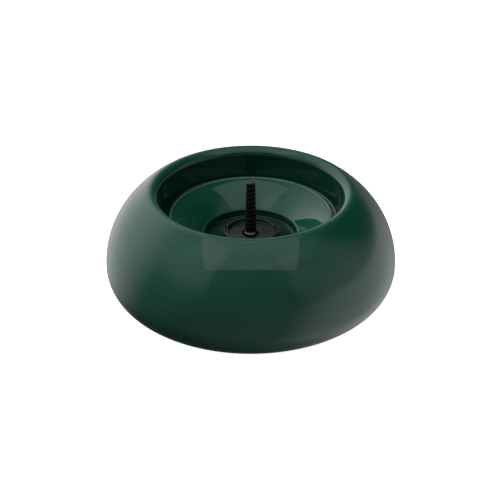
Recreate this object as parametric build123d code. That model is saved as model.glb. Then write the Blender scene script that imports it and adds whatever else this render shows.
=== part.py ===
from build123d import *

import math
import os

# Water-holding tree stand. Millimetres, +Z up, origin on the floor under the spike's axis.

# Domed outer shell: a quarter-ellipse flank over a round lower tuck, rolled over into a collar.
BODY_R = 185.0
SHELL_WALL = 3.0
EQUATOR_Z = 35.6
DOME_CENTRE_R = 56.4
DOME_RISE = 119.9
DOME_END_DEG = 54.0
LIP_ROLL_R = 11.0
TUCK_R = 41.7
SHELL_FOOT_Z = 1.5
COLLAR_DRAFT_DEG = 10.0
LEDGE_Z = 95.8
LEDGE_CORNER_R = 3.0
LEDGE_INNER_R = 100.4
LEDGE_LIP_DEPTH = 8.0

# Screw posts inside the shell.
POST_COUNT = 6
POST_CIRCLE_R = 150.0
POST_R = 5.5
POST_TOP_Z = 34.0
POST_WEB_LOW_Z = 14.0
POST_WEB_THICKNESS = 3.0

# Water bowl.
BOWL_WALL = 2.8
BEAD_CENTRE_R = 101.0
BEAD_R = 2.2
BEAD_TOP_Z = 101.1
BEAD_END_DEG = 172.0
BOWL_BULGE = 3.0
STEP_OUTER = (61.0, 76.3)
STEP_INNER = (58.4, 75.7)
STEP_ROUND = 1.6
WELL_FLOOR_R = 57.0
WELL_FLOOR_Z = 66.5
WELL_ROUND = 1.0
HUB_R = 35.5
HUB_SLOPE = 1.0
HUB_TOP_Z = 70.5
HUB_HOLE_R = 11.5
SEAL_THICKNESS = 1.0

# Trunk plate.
PLATE_R = 34.0
PLATE_RIM_R = 30.0
PLATE_FLOOR_Z = 73.0
PLATE_RIM_Z = 77.6
PLATE_HOLE_R = 10.8
PLATE_NOTCH_COUNT = 2
PLATE_NOTCH_WIDTH = 8.0
GRIP_LENGTH = 16.0
GRIP_INNER_R = 29.0
GRIP_OUTER_R = 36.6
GRIP_BASE_THICKNESS = 3.0
GRIP_TOP_Z = 77.0
GRIP_RIB_COUNT = 3
GRIP_RIB_THICKNESS = 1.4
KEY_CIRCLE_R = 22.0
KEY_R = 5.0
KEY_COUNT = 4
KEY_START_DEG = 45.0

# Spindle housing, between the base frame's deck and the bowl's floor.
HOUSING_TOP_Z = 66.2
HOUSING_FLANGE_R = 30.0
HOUSING_FLANGE_LOW_Z = 61.5
HOUSING_TUBE_R = 14.0
HOUSING_FOOT_Z = 34.0
HOUSING_BASE_R = 34.5
HOUSING_BASE_THICKNESS = 5.0
HOUSING_WEB_THICKNESS = 4.0
HOUSING_WEB_R = 24.5
HOUSING_WEB_COUNT = 4
SLEEVE_R = 9.0
SLEEVE_FLANGE_R = 13.0
SLEEVE_FLANGE_THICKNESS = 2.0
SLEEVE_SEAT_Z = 62.0

# Base frame.
DECK_Z = 44.0
DECK_THICKNESS = 4.0
RECESS_R = 62.0
SKIRT_WALL = 3.0
PAN_LOW_Z = 4.0
PAN_THICKNESS = 3.0
PAN_R = 160.3
PAN_RIM_WIDTH = 2.5
PAN_RIM_Z = 11.0
RIB_COUNT = 12
RIB_THICKNESS = 3.0
RIB_INNER_R = 37.0
RIB_OUTER_R = 142.0
RIB_INNER_Z = 52.0
RIB_OUTER_Z = 14.0
DECK_BOSS_R = 5.4
DECK_BOSS_LOW_Z = 33.0

# Rubber feet.
FOOT_COUNT = 6
FOOT_CIRCLE_R = 146.0
FOOT_R = 10.0
FOOT_PEG_R = 3.0
FOOT_PEG_HEAD_R = 3.9
FOOT_START_DEG = 30.0

# Trunk spike: coarse tapered screw, journal, hexagonal drive end and threaded stub.
SPIKE_TOP_Z = 145.0
SPIKE_THREAD_LOW_Z = 77.5
SPIKE_BASE_R = 7.4
SPIKE_TIP_R = 5.9
SPIKE_PITCH = 6.0
SPIKE_THREAD_DEPTH = 0.5
SPIKE_THREAD_FOOT = 3.4
SPIKE_THREAD_CREST = 0.7
SPIKE_TIP_CHAMFER = 0.4
JOURNAL_R = 6.0
JOURNAL_LOW_Z = 29.0
DRIVE_ACROSS_FLATS = 10.0
DRIVE_LOW_Z = 12.0
STUB_R = 4.0
STUB_LOW_Z = 4.5
GROOVE_R = 5.3
GROOVE_LOW_Z = 30.6
GROOVE_WIDTH = 1.3

# Collar, washers and clips on the spindle.
COLLAR_R = 8.9
COLLAR_LOW_Z = 64.2
COLLAR_TOP_Z = 76.4
COLLAR_CHAMFER = 1.8
COLLAR_PIN_R = 1.0
COLLAR_PIN_Z = 65.4
THRUST_WASHER_R = 13.0
THRUST_WASHER_THICKNESS = 1.7
CLIP_R = 8.6
CLIP_THICKNESS = 1.2
CLIP_GAP_DEG = 70.0

# Hand wheel under the spindle.
WHEEL_R = 40.0
WHEEL_RIM_LOW_Z = 13.0
WHEEL_RIM_HIGH_Z = 26.0
WHEEL_HUB_R = 13.0
WHEEL_SCALLOPS = 8
WHEEL_SCALLOP_R = 10.0
WHEEL_EDGE_ROUND = 1.5
WHEEL_DISH_DEPTH = 5.0

# Fasteners.
SCREW_R = 2.0
SCREW_HEAD_R = 3.9
SCREW_HEAD_HEIGHT = 2.3
BOLT_R = 2.5
BOLT_HEAD_FLATS = 8.0
BOLT_HEAD_HEIGHT = 3.5
BOLT_CIRCLE_R = 29.4
BOLT_COUNT = 4
BOLT_LOW_Z = 35.0
WASHER_THICKNESS = 1.0
NUT_ACROSS_FLATS = 13.0
NUT_HEIGHT = 5.6

# Clearances.
FIT_GAP = 0.05
EASY_GAP = 0.3


def turned(outline):
    """A solid of revolution about +Z. The outline is drawn with x as radius and y as height."""
    return revolve(Plane.XZ * make_face(outline), Axis.Z, 360)


def ring(inner_r, outer_r, low_z, high_z):
    """A plain ring about +Z, or a disc when the inner radius is 0."""
    height = high_z - low_z
    body = Pos(0, 0, low_z + height / 2) * Cylinder(outer_r, height)
    if inner_r > 0:
        body -= Pos(0, 0, low_z + height / 2) * Cylinder(inner_r, height + 1)
    return body


def hexagon(across_flats, low_z, high_z):
    """A hexagonal prism about +Z."""
    section = Plane.XY.offset(low_z) * RegularPolygon(across_flats / 2, 6, major_radius=False)
    return extrude(section, high_z - low_z)


def around(shape, count, start_deg=0.0):
    """Copies of a shape, spread evenly about +Z."""
    return [Rot(0, 0, start_deg + index * 360 / count) * shape for index in range(count)]


def cut_all(body, tools):
    """The body with each tool taken out of it."""
    for tool in tools:
        body -= tool
    return body


def join_all(body, others):
    """The body with each other shape added to it."""
    for other in others:
        body += other
    return body


def radial_web(points, thickness):
    """An upright web in the plane y = 0, from an outline of (radius, height) points."""
    face = Plane.XZ * make_face(Polyline(*points, close=True))
    return extrude(face, thickness / 2, both=True)


def polar(centre, radius, degrees):
    """The point at that radius and angle about a centre."""
    angle = math.radians(degrees)
    return (centre[0] + radius * math.cos(angle), centre[1] + radius * math.sin(angle))


def dome_point(degrees, depth=0.0):
    """A point of the dome's ellipse at that parameter, moved in along the surface normal by depth."""
    angle = math.radians(degrees)
    half_width = BODY_R - DOME_CENTRE_R
    normal = Vector(math.cos(angle) / half_width, math.sin(angle) / DOME_RISE).normalized()
    radius = DOME_CENTRE_R + half_width * math.cos(angle) - depth * normal.X
    height = EQUATOR_Z + DOME_RISE * math.sin(angle) - depth * normal.Y
    return (radius, height), math.degrees(math.atan2(normal.Y, normal.X))


def shell_outline():
    """The closed half section of the outer shell."""
    tuck_centre = (BODY_R - TUCK_R, EQUATOR_Z)
    mid_wall_r = TUCK_R - SHELL_WALL / 2
    drop = EQUATOR_Z - SHELL_FOOT_Z - SHELL_WALL / 2
    tuck_deg = math.degrees(math.asin(drop / mid_wall_r))
    nose_centre = polar(tuck_centre, mid_wall_r, -tuck_deg)

    roll_centre, normal_deg = dome_point(DOME_END_DEG, LIP_ROLL_R)
    wall_deg = 180 - COLLAR_DRAFT_DEG
    roll_inner_r = LIP_ROLL_R - SHELL_WALL
    wall_top = polar(roll_centre, LIP_ROLL_R, wall_deg)

    # The collar wall leans in by its draft down to the ledge's corner.
    corner_z = LEDGE_Z + LEDGE_CORNER_R
    lean = math.tan(math.radians(COLLAR_DRAFT_DEG))
    corner_side = LEDGE_CORNER_R / math.cos(math.radians(COLLAR_DRAFT_DEG))
    corner_centre = (wall_top[0] - (wall_top[1] - corner_z) * lean - corner_side, corner_z)
    corner_out_r = LEDGE_CORNER_R + SHELL_WALL
    wall_foot = polar(corner_centre, LEDGE_CORNER_R, -COLLAR_DRAFT_DEG)
    back_foot = polar(corner_centre, corner_out_r, -COLLAR_DRAFT_DEG)

    under_z = LEDGE_Z - SHELL_WALL
    lip_low_z = LEDGE_Z - LEDGE_LIP_DEPTH
    lip_outer_r = LEDGE_INNER_R + SHELL_WALL
    flank_steps = 6
    inner_flank = [
        dome_point(DOME_END_DEG * (1 - step / flank_steps), SHELL_WALL)[0]
        for step in range(flank_steps + 1)
    ]
    return [
        CenterArc(tuck_centre, TUCK_R, -tuck_deg, tuck_deg),
        EllipticalCenterArc(
            (DOME_CENTRE_R, EQUATOR_Z),
            BODY_R - DOME_CENTRE_R,
            DOME_RISE,
            start_angle=0,
            arc_size=DOME_END_DEG,
        ),
        CenterArc(roll_centre, LIP_ROLL_R, normal_deg, wall_deg - normal_deg),
        Line(wall_top, wall_foot),
        CenterArc(corner_centre, LEDGE_CORNER_R, -COLLAR_DRAFT_DEG, COLLAR_DRAFT_DEG - 90),
        Polyline(
            (corner_centre[0], LEDGE_Z),
            (LEDGE_INNER_R, LEDGE_Z),
            (LEDGE_INNER_R, lip_low_z),
            (lip_outer_r, lip_low_z),
            (lip_outer_r, under_z),
            (corner_centre[0], under_z),
        ),
        CenterArc(corner_centre, corner_out_r, -90, 90 - COLLAR_DRAFT_DEG),
        Line(back_foot, polar(roll_centre, roll_inner_r, wall_deg)),
        CenterArc(roll_centre, roll_inner_r, wall_deg, normal_deg - wall_deg),
        Spline(*inner_flank),
        CenterArc(tuck_centre, TUCK_R - SHELL_WALL, 0, -tuck_deg),
        ThreePointArc(
            polar(tuck_centre, TUCK_R - SHELL_WALL, -tuck_deg),
            polar(nose_centre, SHELL_WALL / 2, -tuck_deg - 90),
            polar(tuck_centre, TUCK_R, -tuck_deg),
        ),
    ]


def mid_wall_radius(height):
    """The radius of the middle of the shell's wall, below the equator."""
    reach = TUCK_R - SHELL_WALL / 2
    return BODY_R - TUCK_R + math.sqrt(reach**2 - (EQUATOR_Z - height) ** 2)


def outer_shell():
    """Domed shell with its collar, ledge and inner screw posts."""
    pan_top = PAN_LOW_Z + PAN_THICKNESS
    post = Pos(POST_CIRCLE_R, 0, 0) * ring(0, POST_R, pan_top, POST_TOP_Z)
    web_heights = (POST_WEB_LOW_Z, (POST_WEB_LOW_Z + POST_TOP_Z) / 2, POST_TOP_Z)
    web_points = [(mid_wall_radius(height), height) for height in web_heights]
    web_points += [(POST_CIRCLE_R, POST_TOP_Z), (POST_CIRCLE_R, POST_WEB_LOW_Z)]
    post += radial_web(web_points, POST_WEB_THICKNESS)
    pilot_top = pan_top + 15.0
    post -= Pos(POST_CIRCLE_R, 0, 0) * ring(0, SCREW_R + FIT_GAP, pan_top - 1, pilot_top)
    return join_all(turned(shell_outline()), around(post, POST_COUNT))


def bowl_outline():
    """Half section of the bowl: beaded rim, bulging wall, step, well, and the hub raised in its middle."""
    bead_centre = (BEAD_CENTRE_R, BEAD_TOP_Z - BEAD_R)
    rim_r = BEAD_CENTRE_R + BEAD_R
    seat_z = LEDGE_Z + SEAL_THICKNESS
    wall_top = polar(bead_centre, BEAD_R, BEAD_END_DEG)

    # The wall bulges above the straight line from the rim to the step.
    chord = Vector(wall_top[0] - STEP_OUTER[0], wall_top[1] - STEP_OUTER[1])
    normal = Vector(chord.Y, -chord.X).normalized()
    middle = Vector(*STEP_OUTER) + chord / 2 - normal * BOWL_BULGE
    back_top = Vector(*wall_top) + normal * BOWL_WALL
    back_middle = middle + normal * BOWL_WALL
    back_step = Vector(*STEP_OUTER) + normal * BOWL_WALL
    return [
        Line((rim_r, seat_z), (rim_r, bead_centre[1])),
        CenterArc(bead_centre, BEAD_R, 0, BEAD_END_DEG),
        ThreePointArc(wall_top, (middle.X, middle.Y), STEP_OUTER),
        Polyline(
            STEP_OUTER,
            STEP_INNER,
            (WELL_FLOOR_R, WELL_FLOOR_Z),
            (HUB_R + HUB_SLOPE, WELL_FLOOR_Z),
            (HUB_R, HUB_TOP_Z),
            (HUB_HOLE_R, HUB_TOP_Z),
            (HUB_HOLE_R, HUB_TOP_Z - BOWL_WALL),
            (HUB_R - BOWL_WALL, HUB_TOP_Z - BOWL_WALL),
            (HUB_R - BOWL_WALL, WELL_FLOOR_Z - BOWL_WALL),
            (WELL_FLOOR_R + BOWL_WALL, WELL_FLOOR_Z - BOWL_WALL),
            (back_step.X, back_step.Y),
        ),
        ThreePointArc((back_step.X, back_step.Y), (back_middle.X, back_middle.Y), (back_top.X, back_top.Y)),
        Polyline((back_top.X, back_top.Y), (LEDGE_INNER_R + 0.6, seat_z), (rim_r, seat_z)),
    ]


def water_bowl():
    """Bowl with a beaded rim and a stepped well, pierced for the spindle and the keys."""
    section = make_face(bowl_outline())
    for corner, radius in (
        (STEP_INNER, STEP_ROUND),
        ((WELL_FLOOR_R, WELL_FLOOR_Z), WELL_ROUND),
        ((WELL_FLOOR_R + BOWL_WALL, WELL_FLOOR_Z - BOWL_WALL), WELL_ROUND),
        ((HUB_R + HUB_SLOPE, WELL_FLOOR_Z), 1.5),
        ((HUB_R, HUB_TOP_Z), 0.8),
    ):
        section = fillet(section.vertices().sort_by_distance((corner[0], corner[1], 0))[0], radius)
    bowl = revolve(Plane.XZ * section, Axis.Z, 360)
    under_hub = HUB_TOP_Z - BOWL_WALL
    key_hole = Pos(KEY_CIRCLE_R, 0, 0) * ring(0, KEY_R + FIT_GAP, under_hub - 1, HUB_TOP_Z + 1)
    return cut_all(bowl, around(key_hole, KEY_COUNT, KEY_START_DEG))


def rim_seal():
    """Flat rubber ring between the bowl's rim and the shell's ledge."""
    outer_r = BEAD_CENTRE_R + BEAD_R - 0.3
    return ring(LEDGE_INNER_R + 0.6, outer_r, LEDGE_Z, LEDGE_Z + SEAL_THICKNESS)


def finger_grip():
    """Ribbed block at the plate's +X side, by which it is lifted."""
    high_z = HUB_TOP_Z + GRIP_BASE_THICKNESS
    width = GRIP_OUTER_R - GRIP_INNER_R
    middle = (GRIP_INNER_R + GRIP_OUTER_R) / 2
    grip = Pos(middle, 0, (HUB_TOP_Z + high_z) / 2) * Box(width, GRIP_LENGTH, GRIP_BASE_THICKNESS)
    height = GRIP_TOP_Z - HUB_TOP_Z
    pitch = (width - GRIP_RIB_THICKNESS) / (GRIP_RIB_COUNT - 1)
    for index in range(GRIP_RIB_COUNT):
        x = GRIP_INNER_R + GRIP_RIB_THICKNESS / 2 + index * pitch
        grip += Pos(x, 0, HUB_TOP_Z + height / 2) * Box(GRIP_RIB_THICKNESS, GRIP_LENGTH - 2, height)
    return grip


def trunk_plate():
    """Round plate with a raised, notched rim, finger grips, and keys through the bowl's floor."""
    outline = Polyline(
        (PLATE_HOLE_R, HUB_TOP_Z),
        (PLATE_R, HUB_TOP_Z),
        (PLATE_R, PLATE_RIM_Z),
        (PLATE_RIM_R, PLATE_RIM_Z),
        (PLATE_RIM_R, PLATE_FLOOR_Z),
        (PLATE_HOLE_R, PLATE_FLOOR_Z),
        close=True,
    )
    section = make_face(outline)
    for corner, radius in (
        ((PLATE_R, PLATE_RIM_Z), 0.8),
        ((PLATE_RIM_R, PLATE_RIM_Z), 0.6),
        ((PLATE_RIM_R, PLATE_FLOOR_Z), 0.8),
        ((PLATE_HOLE_R, PLATE_FLOOR_Z), 0.6),
    ):
        section = fillet(section.vertices().sort_by_distance((corner[0], corner[1], 0))[0], radius)
    plate = revolve(Plane.XZ * section, Axis.Z, 360)
    notch_height = 2 * (PLATE_RIM_Z - PLATE_FLOOR_Z)
    notch = Pos(PLATE_R, 0, PLATE_RIM_Z) * Box(12.0, PLATE_NOTCH_WIDTH, notch_height)
    plate = cut_all(plate, around(notch, PLATE_NOTCH_COUNT, 90))
    grip_gap = Pos(PLATE_R, 0, PLATE_RIM_Z) * Box(12.0, GRIP_LENGTH, notch_height)
    plate = cut_all(plate, around(grip_gap, 2))
    plate = join_all(plate, around(finger_grip(), 2))
    key_low = HOUSING_TOP_Z + 0.2
    key = Pos(KEY_CIRCLE_R, 0, 0) * ring(0, KEY_R, key_low, HUB_TOP_Z + 1)
    plate = join_all(plate, around(key, KEY_COUNT, KEY_START_DEG))
    pilot = Pos(KEY_CIRCLE_R, 0, 0) * ring(0, SCREW_R + FIT_GAP, key_low - 1, PLATE_FLOOR_Z - 1.2)
    return cut_all(plate, around(pilot, KEY_COUNT, KEY_START_DEG))


def hub_gasket():
    """Flat gasket between the bowl's floor and the spindle housing."""
    gasket = ring(COLLAR_R + 0.8, HOUSING_FLANGE_R - 1, HOUSING_TOP_Z, HUB_TOP_Z - BOWL_WALL)
    hole = Pos(KEY_CIRCLE_R, 0, 0) * ring(0, KEY_R + FIT_GAP, HOUSING_TOP_Z - 1, HUB_TOP_Z)
    return cut_all(gasket, around(hole, KEY_COUNT, KEY_START_DEG))


def shaft_seal():
    """Lip seal between the turning collar and the bowl's hub hole."""
    low_z = HUB_TOP_Z - BOWL_WALL
    high_z = HUB_TOP_Z - 0.1
    inner_r = COLLAR_R + FIT_GAP
    outer_r = HUB_HOLE_R - FIT_GAP
    lip = 0.8
    outline = Polyline(
        (inner_r, high_z),
        (inner_r, low_z + lip),
        (inner_r + lip, low_z),
        (outer_r, low_z),
        (outer_r, high_z),
        (outer_r - lip, high_z),
        (outer_r - lip, low_z + 2 * lip),
        (inner_r + lip, low_z + 2 * lip),
        (inner_r + lip, high_z),
        close=True,
    )
    return turned(outline)


def spindle_housing():
    """Flanged tower that carries the spindle's bearing, bolted to the base frame's deck."""
    body = ring(0, HOUSING_TUBE_R, HOUSING_FOOT_Z, HOUSING_FLANGE_LOW_Z + 1)
    body += ring(0, HOUSING_FLANGE_R, HOUSING_FLANGE_LOW_Z, HOUSING_TOP_Z)
    body += ring(0, HOUSING_BASE_R, DECK_Z, DECK_Z + HOUSING_BASE_THICKNESS)
    web = radial_web(
        [
            (HOUSING_TUBE_R - 1, DECK_Z + 1),
            (HOUSING_WEB_R, DECK_Z + 1),
            (HOUSING_WEB_R, HOUSING_TOP_Z - 1),
            (HOUSING_TUBE_R - 1, HOUSING_TOP_Z - 1),
        ],
        HOUSING_WEB_THICKNESS,
    )
    body = join_all(body, around(web, HOUSING_WEB_COUNT))
    body -= ring(0, SLEEVE_R, HOUSING_FOOT_Z - 1, HOUSING_TOP_Z + 1)
    body -= ring(0, SLEEVE_FLANGE_R + 0.2, SLEEVE_SEAT_Z, HOUSING_TOP_Z + 1)
    screw_hole = ring(0, SCREW_R + 0.25, HOUSING_FLANGE_LOW_Z - 1, HOUSING_TOP_Z + 1)
    access_hole = ring(0, SCREW_HEAD_R + 1.1, DECK_Z - 1, DECK_Z + HOUSING_BASE_THICKNESS + 1)
    for hole in (screw_hole, access_hole):
        body = cut_all(body, around(Pos(KEY_CIRCLE_R, 0, 0) * hole, KEY_COUNT, KEY_START_DEG))
    bolt_hole = ring(0, BOLT_R + 0.25, DECK_Z - 1, DECK_Z + HOUSING_BASE_THICKNESS + 1)
    return cut_all(body, around(Pos(BOLT_CIRCLE_R, 0, 0) * bolt_hole, BOLT_COUNT))


def bearing_sleeve():
    """Flanged bronze sleeve in which the spindle turns."""
    outline = Polyline(
        (JOURNAL_R + 0.06, HOUSING_FOOT_Z),
        (SLEEVE_R - 0.02, HOUSING_FOOT_Z),
        (SLEEVE_R - 0.02, SLEEVE_SEAT_Z),
        (SLEEVE_FLANGE_R, SLEEVE_SEAT_Z),
        (SLEEVE_FLANGE_R, SLEEVE_SEAT_Z + SLEEVE_FLANGE_THICKNESS),
        (JOURNAL_R + 0.06, SLEEVE_SEAT_Z + SLEEVE_FLANGE_THICKNESS),
        close=True,
    )
    return turned(outline)


def base_frame():
    """Ribbed floor pan with a raised centre deck over the hand-wheel recess."""
    pan_top = PAN_LOW_Z + PAN_THICKNESS
    deck_low = DECK_Z - DECK_THICKNESS
    skirt_r = RECESS_R + SKIRT_WALL
    outline = Polyline(
        (HOUSING_TUBE_R + EASY_GAP, deck_low),
        (RECESS_R, deck_low),
        (RECESS_R, PAN_LOW_Z),
        (PAN_R, PAN_LOW_Z),
        (PAN_R, PAN_RIM_Z),
        (PAN_R - PAN_RIM_WIDTH, PAN_RIM_Z),
        (PAN_R - PAN_RIM_WIDTH, pan_top),
        (skirt_r, pan_top),
        (skirt_r, DECK_Z),
        (HOUSING_TUBE_R + EASY_GAP, DECK_Z),
        close=True,
    )
    frame = turned(outline)
    rib = radial_web(
        [
            (RIB_INNER_R, DECK_Z - 1),
            (RIB_INNER_R, RIB_INNER_Z),
            (skirt_r, RIB_INNER_Z - 2),
            (RIB_OUTER_R, RIB_OUTER_Z),
            (RIB_OUTER_R, pan_top - 1),
            (skirt_r - 1, pan_top - 1),
            (skirt_r - 1, DECK_Z - 1),
        ],
        RIB_THICKNESS,
    )
    frame = join_all(frame, around(rib, RIB_COUNT))
    frame += ring(RIB_OUTER_R - RIB_THICKNESS, RIB_OUTER_R, pan_top - 1, RIB_OUTER_Z)
    boss = Pos(BOLT_CIRCLE_R, 0, 0) * ring(0, DECK_BOSS_R, DECK_BOSS_LOW_Z, DECK_Z - 1)
    frame = join_all(frame, around(boss, BOLT_COUNT))
    pilot = Pos(BOLT_CIRCLE_R, 0, 0) * ring(0, BOLT_R + FIT_GAP, BOLT_LOW_Z - 0.5, DECK_Z + 1)
    frame = cut_all(frame, around(pilot, BOLT_COUNT))
    access = Pos(KEY_CIRCLE_R, 0, 0) * ring(0, SCREW_HEAD_R + 1.1, deck_low - 1, DECK_Z + 1)
    frame = cut_all(frame, around(access, KEY_COUNT, KEY_START_DEG))
    post_hole = Pos(POST_CIRCLE_R, 0, 0) * ring(0, SCREW_R + 0.25, PAN_LOW_Z - 1, pan_top + 1)
    frame = cut_all(frame, around(post_hole, POST_COUNT))
    peg_hole = Pos(FOOT_CIRCLE_R, 0, 0) * ring(0, FOOT_PEG_R + FIT_GAP, PAN_LOW_Z - 1, pan_top + 1)
    return cut_all(frame, around(peg_hole, FOOT_COUNT, FOOT_START_DEG))


def rubber_feet():
    """Feet with mushroom pegs pushed through the floor pan."""
    pan_top = PAN_LOW_Z + PAN_THICKNESS
    pad = ring(0, FOOT_R, 0, PAN_LOW_Z)
    pad = fillet(pad.faces().sort_by(Axis.Z)[0].edges(), 1.0)
    peg = ring(0, FOOT_PEG_R, PAN_LOW_Z - 1, pan_top + 1)
    head = Pos(0, 0, pan_top + 1) * Cone(FOOT_PEG_HEAD_R, FOOT_PEG_R - 1, 2.0)
    return around(Pos(FOOT_CIRCLE_R, 0, 0) * (pad + peg + head), FOOT_COUNT, FOOT_START_DEG)


def spike_radius(height, depth=0.0):
    """The tapered spike's radius at that height, less a depth."""
    share = (height - SPIKE_THREAD_LOW_Z) / (SPIKE_TOP_Z - SPIKE_THREAD_LOW_Z)
    return SPIKE_BASE_R + (SPIKE_TIP_R - SPIKE_BASE_R) * share - depth


def spike_outline():
    """Half section of the tapered screw: one closed ridge for each turn of its thread."""
    points = [(0, SPIKE_THREAD_LOW_Z - 1), (JOURNAL_R, SPIKE_THREAD_LOW_Z - 1)]
    slope = (SPIKE_THREAD_FOOT - SPIKE_THREAD_CREST) / 2
    turns = int((SPIKE_TOP_Z - SPIKE_THREAD_LOW_Z) / SPIKE_PITCH)
    for turn in range(turns):
        low_z = SPIKE_THREAD_LOW_Z + turn * SPIKE_PITCH
        high_z = low_z + SPIKE_THREAD_FOOT
        points += [
            (spike_radius(low_z, SPIKE_THREAD_DEPTH), low_z),
            (spike_radius(low_z + slope), low_z + slope),
            (spike_radius(high_z - slope), high_z - slope),
            (spike_radius(high_z, SPIKE_THREAD_DEPTH), high_z),
        ]
    points += [
        (SPIKE_TIP_R - SPIKE_THREAD_DEPTH, SPIKE_TOP_Z - SPIKE_TIP_CHAMFER),
        (SPIKE_TIP_R - SPIKE_THREAD_DEPTH - SPIKE_TIP_CHAMFER, SPIKE_TOP_Z),
        (0, SPIKE_TOP_Z),
    ]
    return Polyline(*points, close=True)


def trunk_spike():
    """Tapered screw with its shank: journal, clip groove, hexagonal drive and threaded stub."""
    shank = ring(0, JOURNAL_R, JOURNAL_LOW_Z, SPIKE_THREAD_LOW_Z)
    shank -= ring(GROOVE_R, JOURNAL_R + 1, GROOVE_LOW_Z, GROOVE_LOW_Z + GROOVE_WIDTH)
    shank += hexagon(DRIVE_ACROSS_FLATS, DRIVE_LOW_Z, JOURNAL_LOW_Z)
    shank += ring(0, STUB_R, STUB_LOW_Z, DRIVE_LOW_Z)
    spindle = turned(spike_outline()) + shank
    cross_hole = Pos(0, 0, COLLAR_PIN_Z) * Rot(0, 90, 0) * Cylinder(COLLAR_PIN_R, 4 * JOURNAL_R)
    return spindle - cross_hole


def spike_collar():
    """Satin steel collar at the spike's foot, pinned to the journal."""
    collar = ring(JOURNAL_R + 0.02, COLLAR_R, COLLAR_LOW_Z, COLLAR_TOP_Z)
    collar = chamfer(collar.edges().group_by(Axis.Z)[-1].sort_by(SortBy.RADIUS)[-1], COLLAR_CHAMFER)
    cross_hole = Pos(0, 0, COLLAR_PIN_Z) * Rot(0, 90, 0) * Cylinder(COLLAR_PIN_R, 4 * COLLAR_R)
    return collar - cross_hole


def collar_pin():
    """Cross pin that locks the collar to the spindle."""
    length = 2 * COLLAR_R - 0.8
    return Pos(0, 0, COLLAR_PIN_Z) * Rot(0, 90, 0) * Cylinder(COLLAR_PIN_R - 0.01, length)


def thrust_washer():
    """Steel washer under the housing that takes the spindle's pull."""
    high_z = HOUSING_FOOT_Z - 0.2
    return ring(JOURNAL_R + FIT_GAP, THRUST_WASHER_R, high_z - THRUST_WASHER_THICKNESS, high_z)


def retaining_ring():
    """Open spring ring in the spindle's groove, with an ear at each end."""
    low_z = GROOVE_LOW_Z + FIT_GAP
    high_z = low_z + CLIP_THICKNESS
    clip = ring(GROOVE_R + FIT_GAP, CLIP_R, low_z, high_z)
    half_gap = CLIP_GAP_DEG / 2
    far = 2 * CLIP_R
    wedge = make_face(
        Polyline((0, 0), polar((0, 0), far, -half_gap), polar((0, 0), far, half_gap), close=True)
    )
    clip -= extrude(Plane.XY.offset(low_z - 1) * wedge, CLIP_THICKNESS + 2)
    ear_r = 2.0
    ear_centre_r = CLIP_R - 0.3
    for side in (-1, 1):
        centre = polar((0, 0), ear_centre_r, side * (half_gap + 10))
        clip += Pos(centre[0], centre[1], 0) * ring(0, ear_r, low_z, high_z)
        clip -= Pos(centre[0], centre[1], 0) * ring(0, ear_r / 2, low_z - 1, high_z + 1)
    return clip


def drive_wheel():
    """Scalloped hand wheel with a hexagonal bore."""
    rim_mid = (WHEEL_RIM_LOW_Z + WHEEL_RIM_HIGH_Z) / 2
    rim_height = WHEEL_RIM_HIGH_Z - WHEEL_RIM_LOW_Z
    wheel = Pos(0, 0, rim_mid) * Cylinder(WHEEL_R, rim_height)
    scallop = Pos(WHEEL_R + 0.5 * WHEEL_SCALLOP_R, 0, rim_mid) * Cylinder(
        WHEEL_SCALLOP_R, rim_height + 1
    )
    wheel = cut_all(wheel, around(scallop, WHEEL_SCALLOPS))
    rims = wheel.faces().filter_by(Axis.Z)
    wheel = fillet(rims.edges(), WHEEL_EDGE_ROUND)
    dish_r = WHEEL_R - WHEEL_SCALLOP_R - 1
    wheel -= ring(WHEEL_HUB_R, dish_r, WHEEL_RIM_LOW_Z - 1, WHEEL_RIM_LOW_Z + WHEEL_DISH_DEPTH)
    wheel += ring(0, WHEEL_HUB_R, DRIVE_LOW_Z, JOURNAL_LOW_Z)
    return wheel - hexagon(DRIVE_ACROSS_FLATS + 2 * FIT_GAP, DRIVE_LOW_Z - 1, JOURNAL_LOW_Z + 1)


def wheel_washer():
    """Washer between the hand wheel and its nut."""
    return ring(STUB_R + 0.2, 8.0, DRIVE_LOW_Z - WASHER_THICKNESS, DRIVE_LOW_Z)


def wheel_nut():
    """Hexagonal nut on the spindle's stub."""
    high_z = DRIVE_LOW_Z - WASHER_THICKNESS
    low_z = high_z - NUT_HEIGHT
    nut = hexagon(NUT_ACROSS_FLATS, low_z, high_z)
    bevel_r = NUT_ACROSS_FLATS / 2 + 0.2
    bevel = Pos(0, 0, low_z + NUT_HEIGHT / 2) * Cone(bevel_r, bevel_r + NUT_HEIGHT, NUT_HEIGHT)
    return (nut & bevel) - ring(0, STUB_R + FIT_GAP, low_z - 1, high_z + 1)


def cross_head_screw(head_low_z, tip_z):
    """Pan-head screw pointing up, with a cross recess in its head."""
    head_high_z = head_low_z + SCREW_HEAD_HEIGHT
    head = ring(0, SCREW_HEAD_R, head_low_z, head_high_z)
    head = fillet(head.edges().sort_by(Axis.Z)[0], 1.2)
    for angle in (0, 90):
        head -= Pos(0, 0, head_low_z) * Rot(0, 0, angle) * Box(4.4, 0.9, 2.4)
    shank = ring(0, SCREW_R, head_high_z - 0.5, tip_z - SCREW_R)
    tip = Pos(0, 0, tip_z - SCREW_R / 2) * Cone(SCREW_R, 0.6, SCREW_R)
    return head + shank + tip


def plate_screws():
    """Screws up through the housing and the bowl into the trunk plate's keys."""
    head_low = HOUSING_FLANGE_LOW_Z - WASHER_THICKNESS - SCREW_HEAD_HEIGHT
    screw = Pos(KEY_CIRCLE_R, 0, 0) * cross_head_screw(head_low, PLATE_FLOOR_Z - 1.4)
    return around(screw, KEY_COUNT, KEY_START_DEG)


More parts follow.
